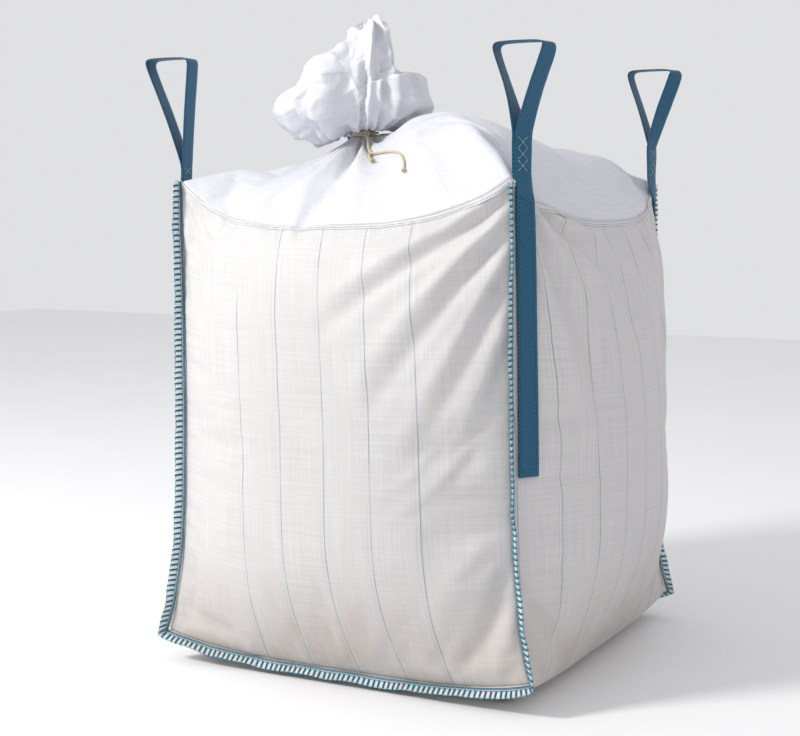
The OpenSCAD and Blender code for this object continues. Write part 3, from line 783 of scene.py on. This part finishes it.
def seam(side, turn):
    flip = np.array([1, -1 if side == "rear" else 1, 1])
    pts, d, up, at = fin_path(turn)
    ripple = 0.0010 * waves(at, 6, 33, 20, 120)
    wide = FIN_W + 0.0007 * waves(at, 5, 35, 30, 150)
    prof = [(-0.002, -0.5), (0.010, -0.5), (0.018, -0.5), (1, -0.42), (1.03, 0), (1, 0.42),
            (0.018, 0.5), (0.010, 0.5), (-0.002, 0.5)]
    ring = []
    for a, b in prof:
        r = wide * a if a >= 1 else a
        ring.append(pts + d * np.reshape(r, (-1, 1))
                    + up * (b * FIN_T + ripple * (np.reshape(r, -1) / FIN_W))[:, None])
    ring = np.stack(ring, 1)
    n, m = ring.shape[:2]
    faces, uv = ring_faces(n, m), []
    for i in range(n - 1):
        for j in range(m):
            a, b = j * 0.008, (j + 1) * 0.008
            uv += [(a, at[i]), (b, at[i]), (b, at[i + 1]), (a, at[i + 1])]
    for row, order in ((0, 1), (n - 1, -1)):
        faces.append([row * m + j for j in range(m)][::-order])
        uv += [(0, 0)] * m
    order = slice(None) if side == "front" else slice(None, None, -1)
    turned = [f[order] for f in faces]
    fin = make(f"{side}_seam_fin_cloth", ring.reshape(-1, 3) * flip, turned, None, [FIN])
    layer = fin.data.uv_layers.new(name="UVMap")
    flat, k = [], 0
    for f in faces:
        flat += uv[k:k + len(f)][order]
        k += len(f)
    layer.data.foreach_set("uv", np.array(flat, np.float32).ravel())
    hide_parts(f"{side}_seam_fin")

    def on(r, h, i):
        """Point on the fin: r out from the seam, h off its middle, i along it (may be a fraction)."""
        i = np.clip(np.asarray(i, float), 0, n - 1.001)
        a, k = i.astype(int), (i - i.astype(int))[..., None]
        g = lambda v: v[a] * (1 - k) + v[a + 1] * k
        rip = g(ripple[:, None])[..., 0] * (np.asarray(r) / FIN_W)
        return g(pts) + g(d) * np.reshape(r, (-1, 1)) + g(up) * np.reshape(h + rip, (-1, 1))

    parts = []
    for c in np.arange(0.012, at[-1] - 0.008, RUNG):
        i = c / FIN_STEP + rng.normal(0, 0.03)
        w = wide[int(min(n - 1, i))]
        inner = 0.0108 + rng.normal(0, 0.0004)
        slant = rng.normal(0.10, 0.06)
        r = np.array([inner, 0.5 * (inner + w), w - 0.002, w + 0.0012, w - 0.002, 0.5 * (inner + w), inner])
        h = np.array([1, 1, 1, 0, -1, -1, -1]) * (FIN_T / 2 + 0.0006)
        ii = i + np.array([0, 0.2, 0.4, 0.5, 0.6, 0.8, 1]) * slant * 2
        for off in (-0.0012, 0.0012):
            path = on(r, h, ii + off / FIN_STEP)
            parts.append(tube(path, 0.00132, 6, up=up[int(min(n - 1, i))]))
    dark = sum(len(f) for _, f in parts)
    for r, h, rad, amp in ((0.0106, 1, 0.0013, 0.35), (0.0106, -1, 0.0013, 0.35), (0.0272, 0, 0.0013, 0.3)):
        k = np.arange(0.6, n - 1.2, 0.34)
        beat = np.sin(k * FIN_STEP / RUNG * 6.28)
        path = on(r + 0.0004 * beat, np.full(len(k), h * (FIN_T / 2 + 0.0005)), k)
        parts.append(tube(path, rad * (1 + amp * beat), 6))
    v, f = join_parts(parts)
    lock = make(f"{side}_overlock_thread", v * flip, [g[order] for g in f], None, [THREAD, PALE],
                [int(i >= dark) for i in range(len(f))])
    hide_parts(f"{side}_overlock")
    parts = []
    for r in (0.0036, 0.0066):
        for sgn in (1, -1):
            k = np.arange(0.6, n - 1.2, 0.22)
            bead = 0.5 + 0.5 * np.cos(k * FIN_STEP / 0.0085 * 6.28 + r * 900)
            path = on(np.full(len(k), r), np.full(len(k), sgn * (FIN_T / 2 + 0.0004)), k)
            parts.append(tube(path, 0.0006 + 0.0007 * bead**0.6, 6))
    v, f = join_parts(parts)
    chain = make(f"{side}_chain_thread", v * flip, [g[order] for g in f], None, [THREAD])
    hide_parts(f"{side}_chain_stitch")
    for ob in (fin, lock, chain):
        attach(ob, "bag")


seam("front", TURN_FRONT)
seam("rear", TURN_REAR)


# ---- rim hem
def rim_hem():
    grid = skin_co[: (ROWS + 1) * RING].reshape(ROWS + 1, RING, 3)
    top, low = grid[-1], grid[-2]
    out = unit(np.cross(np.roll(top, -1, 0) - np.roll(top, 1, 0), top - low))
    out = unit(out + np.roll(out, 1, 0) + np.roll(out, -1, 0))
    fold = ((-0.10, 0.0011), (0.25, 0.0015), (0.65, 0.0015), (1.05, 0.0015), (1.12, 0.0006))
    v = np.concatenate([mix(top, low, k) + out * o for k, o in fold])
    faces, uv = [], []
    for i in range(4):
        for k in range(RING):
            k2 = (k + 1) % RING
            faces.append([(i + 1) * RING + k, (i + 1) * RING + k2, i * RING + k2, i * RING + k])
            a, b, lo, hi = k * 0.0125, (k + 1) * 0.0125, i * 0.005, (i + 1) * 0.005
            uv += [(a, lo), (b, lo), (b, hi), (a, hi)]
    ob = make("rim_hem_cloth", v, faces, uv, [HEM])
    subdivide(ob)
    thicken(ob, 0.0010, 0.0)
    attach(ob, "bag")
    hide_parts("rim_hem")
    line = mix(top, low, 0.62) + out * 0.0024
    parts = []
    for k in range(RING):
        a, b = line[k], line[(k + 1) % RING]
        if np.linalg.norm(b - a) > 0.004:
            for lo, hi in ((0.06, 0.46), (0.56, 0.96)):
                ends = np.stack([mix(a, b, lo), mix(a, b, (lo + hi) / 2), mix(a, b, hi)])
                parts.append(tube(ends, [0.0005, 0.0008, 0.0005], 5))
    v, f = join_parts(parts)
    st = make("rim_stitch", v, f, None, [WHITE])
    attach(st, "bag")


rim_hem()


# ---- webbing
def chaikin(p, times):
    for _ in range(times):
        q = np.empty((2 * len(p) - 2, p.shape[1]))
        q[0::2] = p[:-1] * 0.75 + p[1:] * 0.25
        q[1::2] = p[:-1] * 0.25 + p[1:] * 0.75
        p = np.concatenate([p[:1], q, p[-1:]])
    return p


def even(p, step):
    long = np.concatenate([[0], np.cumsum(np.linalg.norm(np.diff(p[:, :3], axis=0), axis=1))])
    at = np.linspace(0, long[-1], max(3, int(long[-1] / step) + 1))
    return np.stack([np.interp(at, long, p[:, i]) for i in range(p.shape[1])], -1), at


def leg_frame(t, lift, extra=0.0):
    """Centre, width direction and outward normal of the sewn leg at height share t; towards the
    rim the webbing turns by extra degrees about its edge at the corner."""
    s = -0.935
    n = wall_n(1, s, t)
    w = unit(wall(1, s + 0.02, t) - wall(1, s - 0.02, t))
    a = (math.radians(extra) * smooth(np.asarray(t, float), 0.66, 0.98))[..., None]
    w2, n2 = w * np.cos(a) + n * np.sin(a), n * np.cos(a) - w * np.sin(a)
    return wall(1, s, t) + (w2 - w) * (WEB_W / 2) + n2 * lift, w2, n2


def strap_path(rise, lean, foot, inn, out, slip, extra):
    """The strap from the foot of its inner ply, round the loop, to the foot of its outer ply."""
    tt = np.linspace(LEG_FOOT, 0.985, 40)
    inner, w, _ = leg_frame(tt, GAP + WEB_T / 2, extra)
    outer, _, _ = leg_frame(tt, GAP + WEB_T * 1.5 + 0.0001, extra)
    ht, h, k = WEB_T / 2 + 0.0001, LOOP_H, LOOP_W / 2
    up = mix(rise, h, 0.45)
    loop = np.array([                                     # across, up, turn, slip
        (-ht, 0.000, foot, -0.3), (-ht, rise - 0.010, foot, -1), (-ht - 0.0008, rise, mix(foot, inn, 0.2), -0.9),
        (mix(-ht, lean - k, 0.45) + 0.002, up, inn, -0.2), (lean - k + 0.0016, h - 0.016, inn, 0),
        (lean - k + 0.0030, h - 0.004, inn * 0.6, 0), (lean - k + 0.014, h - ht, inn * 0.3, 0),
        (lean, h - ht + 0.0012, 0.0, 0), (lean + k - 0.014, h - ht, out * 0.3, 0),
        (lean + k - 0.0030, h - 0.004, out * 0.6, 0), (lean + k - 0.0016, h - 0.016, out, 0),
        (mix(ht, lean + k, 0.45) - 0.002, up, out, 0.2), (ht + 0.0008, rise, mix(foot, out, 0.2), 0.9),
        (ht, rise - 0.010, foot, 1), (ht, 0.000, foot, 0.3)])
    loop = chaikin(loop, 3)
    turn = np.radians(loop[:, 2])
    wid = np.stack([np.sin(turn), np.cos(turn), 0 * turn], -1)
    pts = np.stack([PIVOT[0] + loop[:, 0], np.full(len(loop), PIVOT[1]), PIVOT[2] + loop[:, 1]], -1)
    pts = pts + wid * (slip * loop[:, 3])[:, None]
    path = np.concatenate([np.concatenate([inner, w], 1), np.concatenate([pts, wid], 1),
                           np.concatenate([outer[::-1], w[::-1]], 1)])
    path, at = even(path, 0.005)
    for _ in range(3):
        path[1:-1] = (path[:-2] + 2 * path[1:-1] + path[2:]) / 4
    return path[:, :3], unit(path[:, 3:]), at


def strap(name, sx, sy, rise, lean, foot, inn, out, slip, seed):
    extra = min(12.0, max(0.0, foot - 12.0))
    pts, wid, at = strap_path(rise, lean, foot, inn, out, slip, extra)
    tan = unit(np.gradient(pts, axis=0))
    wid = unit(wid - tan * (wid * tan).sum(1, keepdims=True))
    nor = np.cross(tan, wid)
    across = np.array([-1, -0.97, -0.6, -0.2, 0.2, 0.6, 0.97, 1, 0.97, 0.6, 0.2, -0.2, -0.6, -0.97])
    depth = np.array([0, -0.42, -0.5, -0.5, -0.5, -0.5, -0.42, 0, 0.42, 0.5, 0.5, 0.5, 0.5, 0.42])
    fray = 1 + 0.006 * waves(at, 5, seed, 60, 200)
    ring = (pts[:, None] + wid[:, None] * (across * WEB_W / 2)[None, :, None] * fray[:, None, None]
            + nor[:, None] * (depth * WEB_T)[None, :, None])
    n, m = ring.shape[:2]
    u_at = np.concatenate([(across + 1) * WEB_W / 2, [0.0]])
    flip = np.array([sx, sy, 1.0])
    order = slice(None) if sx * sy > 0 else slice(None, None, -1)
    faces, uv = [], []
    for i in range(n - 1):
        for j in range(m):
            k = (j + 1) % m
            faces.append([i * m + j, (i + 1) * m + j, (i + 1) * m + k, i * m + k][order])
            uv += [(u_at[j], at[i]), (u_at[j], at[i + 1]), (u_at[j + 1], at[i + 1]), (u_at[j + 1], at[i])][order]
    for row, o in ((0, 1), (n - 1, -1)):
        faces.append([row * m + j for j in range(m)][::o][order])
        uv += [(u_at[j], at[row]) for j in range(m)][::o][order]
    ob = make(f"strap_{name}", ring.reshape(-1, 3) * flip, faces, uv, [WEB])
    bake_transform(ob)
    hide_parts(f"leg_{name}", f"loop_{name}")
    # stitching on the leg
    parts = []
    lift = GAP + WEB_T * 2 + 0.0005

    def on_leg(t, x):
        c, w, _ = leg_frame(t, lift, extra)
        return c + w * x

    def stitch(t0, x0, t1, x1, rad=0.0008):
        cnt = max(1, int(np.linalg.norm(on_leg(t1, x1) - on_leg(t0, x0)) / 0.0085))
        for q in range(cnt):
            lo, hi = (q + 0.12) / cnt, (q + 0.88) / cnt
            sub = [on_leg(mix(t0, t1, g), mix(x0, x1, g)) for g in (lo, (lo + hi) / 2, hi)]
            parts.append(tube(np.array(sub), [rad * 0.7, rad, rad * 0.7], 5))

    for x in (-SEW_X, SEW_X):
        for k in range(12):
            stitch(mix(SEW_FOOT, SEW_TOP, k / 12), x, mix(SEW_FOOT, SEW_TOP, (k + 1) / 12), x)
    for k in range(5):
        x = -SEW_X if k % 2 else SEW_X
        stitch(mix(0.86, SEW_TOP, k / 5), x, mix(0.86, SEW_TOP, (k + 1) / 5), -x)
    stitch(SEW_FOOT, -SEW_X, SEW_FOOT, SEW_X)
    stitch(SEW_TOP, -SEW_X, SEW_TOP, SEW_X)
    v, f = join_parts(parts)
    sew = make(f"leg_stitch_{name}_thread", v * flip, [g[order] for g in f], None, [THREAD])
    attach(sew, "bag")
    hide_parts(f"leg_stitch_{name}")
    # pale cross stitch under the opening
    parts = []
    low, high = 0.006, rise - 0.008
    turn = math.radians(foot)
    wv = np.array([math.sin(turn), math.cos(turn), 0])
    nv = np.array([math.cos(turn), -math.sin(turn), 0])
    for sgn in (-1, 1):
        rows = 3 if high - low > 0.04 else 1
        for q in range(rows):
            a, b = mix(low, high, q / rows), mix(low, high, (q + 1) / rows)
            for x0, x1 in ((-0.014, 0.014), (0.014, -0.014)):
                ends = np.stack([PIVOT + wv * mix(x0, x1, g) + nv * sgn * (WEB_T + 0.0007) + (0, 0, mix(a, b, g))
                                 for g in (0.04, 0.34, 0.38, 0.64, 0.68, 0.96)])
                for i in (0, 2, 4):
                    parts.append(tube(ends[i:i + 2], 0.0007, 5))
    v, f = join_parts(parts)
    tack = make(f"tack_{name}_thread", v * flip, [g[order] for g in f], None, [WHITE])
    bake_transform(tack)
    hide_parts(f"tack_{name}")


for i, (name, values) in enumerate(LOOPS.items()):
    strap(name, *values, 40 + i)


# ---- crown of the duffle
skirt_mesh = pieces["duffle_skirt_cloth"].data
SKIRT = BVHTree.FromPolygons([v.co.copy() for v in skirt_mesh.vertices],
                             [tuple(p.vertices) for p in skirt_mesh.polygons])


def drop_on(x, y):
    """Height of the finished skirt at x, y."""
    hit = SKIRT.ray_cast(Vector((x, y, 1.6)), Vector((0, 0, -1)))
    return hit[0].z if hit[0] is not None else 1.1


def clear_of_dome(xy):
    """Lowest height the crown may have at x, y: above the tie near the neck, above the skirt elsewhere,
    each with room for the crown to lean 15 degrees to the left and 6 to the right."""
    far, dx = np.linalg.norm(xy - NECK[:2], axis=1), xy[:, 0] - NECK[0]
    room = np.maximum(-0.27 * dx, 0.11 * dx)
    tie = NECK[2] + 0.0125 + room - (0.07 + room) * smooth(far, 0.050, 0.105)
    dome_z = np.array([drop_on(*q) if r > 0.034 and r < 0.30 else 0.0 for q, r in zip(xy, far)])
    return np.maximum(tie, dome_z + 0.006 + 0.13 * np.maximum(dx, 0))


def crown():
    """Bunched cloth above the tie: a lopsided puff that is gathered into the neck."""
    right, away = np.array([0.886, 0.463, 0.0]), np.array([-0.463, 0.886, 0.0])
    mid = np.array([-0.030, 0.100])                     # centre, across and up from the neck
    shape = np.array([                                  # outline, across and up from the neck
        (-0.022, -0.004), (-0.060, -0.007), (-0.088, -0.008), (-0.128, 0.004), (-0.160, 0.018), (-0.183, 0.040),
        (-0.190, 0.068), (-0.180, 0.093), (-0.138, 0.120), (-0.124, 0.158), (-0.064, 0.192), (-0.040, 0.215),
        (-0.012, 0.250), (0.026, 0.262), (0.056, 0.240), (0.064, 0.205), (0.066, 0.166), (0.082, 0.146),
        (0.124, 0.150), (0.148, 0.105), (0.166, 0.066), (0.114, 0.041), (0.058, 0.020), (0.010, 0.008)])
    rel = shape - mid
    ang = np.unwrap(np.arctan2(rel[:, 1], rel[:, 0]))
    rad = np.hypot(rel[:, 0], rel[:, 1])
    order = np.argsort(ang % (2 * math.pi))
    ang, rad = (ang % (2 * math.pi))[order], rad[order]
    ang3, rad3 = np.concatenate([ang - 2 * math.pi, ang, ang + 2 * math.pi]), np.tile(rad, 3)
    nw, nv = 190, 96
    w = np.arange(nw) * 2 * math.pi / nw
    rows = []
    for i in range(nv):
        v = i / (nv - 1)
        e = mix(-0.5 * math.pi + 0.13, 0.5 * math.pi - 0.02, v**0.93)
        d = np.stack([np.cos(e) * np.cos(w), np.full(nw, math.sin(e)), np.cos(e) * np.sin(w)], -1)  # right, up, away
        plane = np.hypot(d[:, 0], d[:, 1])
        phi = np.arctan2(d[:, 1], d[:, 0]) % (2 * math.pi)
        ro = np.interp(phi, ang3, rad3)
        deep = 0.120 + 0.012 * np.cos(3 * w + 1)
        r = 1 / np.sqrt((plane / ro) ** 2 + (d[:, 2] / deep) ** 2)
        rows.append(NECK + right * (mid[0] + r * d[:, 0])[:, None] + away * (r * d[:, 2])[:, None]
                    + (0, 0, 1) * (mid[1] + r * d[:, 1])[:, None])
    p = np.stack(rows)
    to = p - NECK
    far = np.linalg.norm(to, axis=-1)
    turn = np.arctan2(to[..., 1], to[..., 0])
    out = unit(p - (NECK + (0, 0, 0.118)))
    jag = waves(turn, 6, 51, 1, 5)
    big = np.cos(7 * turn + 1.6 * jag + 5 * far) * 0.011 * smooth(far, 0.05, 0.16)
    mid_f = np.cos(17 * turn + 2.6 * jag - 9 * far) * 0.0060 * smooth(far, 0.02, 0.08)
    mid_f = mid_f * (1 - 0.5 * smooth(far, 0.14, 0.24))
    tiny = np.cos(37 * turn + 3.4 * jag) * 0.0032 * np.exp(-far / 0.09)
    ridge = np.abs(waves3(p, 0.115, 53)) ** 0.8 * -0.012 + np.abs(waves3(p, 0.060, 54)) * -0.004
    p = p + out * (big + mid_f + tiny + (ridge + 0.009) * smooth(far, 0.05, 0.12))[..., None]
    stem = []
    for h, r in ((-0.010, 0.020), (0.000, 0.0215), (0.008, 0.022), (0.015, 0.0225)):
        pleat = r + 0.0020 * np.cos(31 * w + 1.2) + 0.0008 * np.cos(53 * w)
        stem.append(NECK + np.stack([pleat * (right[0] * np.cos(w) + away[0] * np.sin(w)),
                                     pleat * (right[1] * np.cos(w) + away[1] * np.sin(w)), np.full(nw, h)], -1))
    k = 9
    start = stem[-1]
    for i in range(k):
        g = ((i + 1) / (k + 1)) ** 1.3
        p[i] = mix(start, p[k], g) * 0.55 + p[i] * 0.45 if i > 2 else mix(start, p[k], g)
    p[:, :, 2] = np.maximum(p[:, :, 2], clear_of_dome(p[:, :, :2].reshape(-1, 2)).reshape(p.shape[:2]))
    grid = np.concatenate([np.stack(stem), p])
    n = len(grid)
    verts = np.concatenate([grid.reshape(-1, 3), [grid[-1].mean(0)]])
    faces, uv = ring_faces(n, nw), []
    for i in range(n - 1):
        for j in range(nw):
            a, b = j / nw * 1.9, (j + 1) / nw * 1.9
            uv += [(a, i * 0.004), (b, i * 0.004), (b, i * 0.004 + 0.004), (a, i * 0.004 + 0.004)]
    for j in range(nw):
        faces.append([(n - 1) * nw + j, (n - 1) * nw + (j + 1) % nw, len(verts) - 1])
        uv += [(j / nw, 0.4), ((j + 1) / nw, 0.4), (j / nw, 0.42)]
    ob = make("duffle_crown_cloth", verts, faces, uv, [DUFFLE])
    pin = np.zeros(len(verts))
    pin[: nw * 8] = 1
    relax(ob, pin, 18, 0.16, 1.0, 0.020, bend=0.15, stiff=12)
    co = coords(ob)
    free = np.arange(len(co)) >= nw * 4
    co[free, 2] = np.maximum(co[free, 2], clear_of_dome(co[free, :2]))
    set_coords(ob, co)
    subdivide(ob)
    thicken(ob, 0.0007)
    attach(ob, "crown")
    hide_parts("duffle_crown")
    return ob


crown_ob = crown()


# ---- tie cord
def ring_path(r, z, wobble, seed, n=90):
    w = np.arange(n) * 2 * math.pi / n
    rr = r + wobble * waves(w * 1.0, 3, seed, 1, 3) * np.sin(w) ** 2
    return NECK + np.stack([rr * np.cos(w), rr * np.sin(w), z + 0.0016 * np.sin(w + seed)], -1)


KNOT = NECK + np.array([0.0240, -0.0350, 0.003])
parts = [tube(ring_path(0.0315, 0.0012, 0.0005, 61), 0.0028, 10, closed=True),
         tube(ring_path(0.0318, 0.0072, 0.0005, 62), 0.0028, 10, closed=True)]
wrap = make("tie_wrap_cord", *join_parts(parts), None, [CORD])
a = np.linspace(0, 2 * math.pi, 61)[:-1]
trefoil = np.stack([np.sin(a) + 2 * np.sin(2 * a), np.cos(a) - 2 * np.cos(2 * a), -np.sin(3 * a) * 1.1], -1) * 0.0029
turned = np.stack([trefoil[:, 0], trefoil[:, 2] * 1.2 - 0.001, trefoil[:, 1]], -1)
knot = make("tie_knot_cord", *tube(KNOT + turned, 0.0027, 10, closed=True), None, [CORD])
for ob, node in ((wrap, "tie_wrap"), (knot, "tie_knot")):
    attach(ob, "bag")
    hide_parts(node)


def tail(name, end, bend, length, node):
    """Loose end of the cord, lying on the skirt from the knot towards end (x, y from the neck)."""
    start = KNOT + np.array([0.002, -0.006, -0.001])
    goal = NECK[:2] + np.array(end)
    n = 22
    side = unit(np.array([-(goal - start[:2])[1], (goal - start[:2])[0]]))
    pts = []
    for i in range(n):
        k = i / (n - 1)
        xy = mix(start[:2], goal, k) + side * bend * math.sin(k * 5.2) * math.sin(k * math.pi) ** 0.5
        z = drop_on(*xy) + 0.0042
        pts.append([xy[0], xy[1], mix(start[2], z, smooth(k, 0.0, 0.16))])
    pts = np.array(pts)
    for _ in range(2):
        pts[1:-1, 2] = np.maximum(pts[1:-1, 2], (pts[:-2, 2] + pts[2:, 2]) / 2)
    pts, at = even(pts, 0.007)
    keep = at <= length + 0.0035              # to the nearest step of the route
    pts = pts[keep]
    cu = bpy.data.curves.new(name, "CURVE")
    cu.dimensions, cu.bevel_depth, cu.bevel_resolution, cu.use_fill_caps = "3D", 0.0028, 3, True
    sp = cu.splines.new("POLY")
    sp.points.add(len(pts) - 1)
    for q, xyz in zip(sp.points, pts):
        q.co = (*xyz, 1)
    sp.use_smooth = True
    cu.materials.append(CORD)
    ob = bpy.data.objects.new(name, cu)
    scene.collection.objects.link(ob)
    a = np.linspace(0, 2 * math.pi, 41)[:-1]
    tre = np.stack([np.sin(a) + 2 * np.sin(2 * a), np.cos(a) - 2 * np.cos(2 * a), -np.sin(3 * a)], -1) * 0.0018
    end_knot = make(name + "_knot", *tube(pts[-1] + (0, 0, 0.0022) + tre, 0.0021, 8, closed=True), None, [CORD])
    for o in (ob, end_knot):
        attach(o, "bag")
    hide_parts(node)


tail("tie_tail_short_cord", (0.131, -0.203), 0.006, 0.212, "tie_tail_short")
tail("tie_tail_long_cord", (0.248, -0.274), -0.016, 0.353, "tie_tail_long")

# ---- product inside
def inside():
    rows = [base(FACE, SS * 0.97, m) + (0, 0, 0.016) for m in (0.45, 0.70, 0.84, 0.93)]
    pick = slice(None, None, 4)
    for t in np.linspace(0.05, 0.96, 22):
        rows.append(wall(FACE, SS * 0.97, t) - 0.026 * wall_n(FACE, SS * 0.97, np.full(RING, t)))
    for r in (0.93, 0.85, 0.72, 0.58, 0.44, 0.30, 0.18):
        q, _ = dome(FACE, SS * 0.97, np.full(RING, r))
        rows.append(q - (0, 0, 0.030))
    rows = np.stack(rows)[:, pick]
    n, m = rows.shape[:2]
    verts = np.concatenate([rows.reshape(-1, 3), [[0, 0, 0.016]], [NECK - (0, 0, 0.05)]])
    faces = ring_faces(n, m)
    for j in range(m):
        k = (j + 1) % m
        faces.append([k, j, n * m])
        faces.append([(n - 1) * m + j, (n - 1) * m + k, n * m + 1])
    ob = make("product_fill", verts, faces, None, [PRODUCT])
    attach(ob, "bag")
    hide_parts("bulk_fill")


inside()

floor = make("floor", [(-9, -9, 0), (9, -9, 0), (9, 9, 0), (-9, 9, 0)], [[0, 1, 2, 3]], None,
             [floor_paint("floor_paint")])
floor.location.z = -0.0005
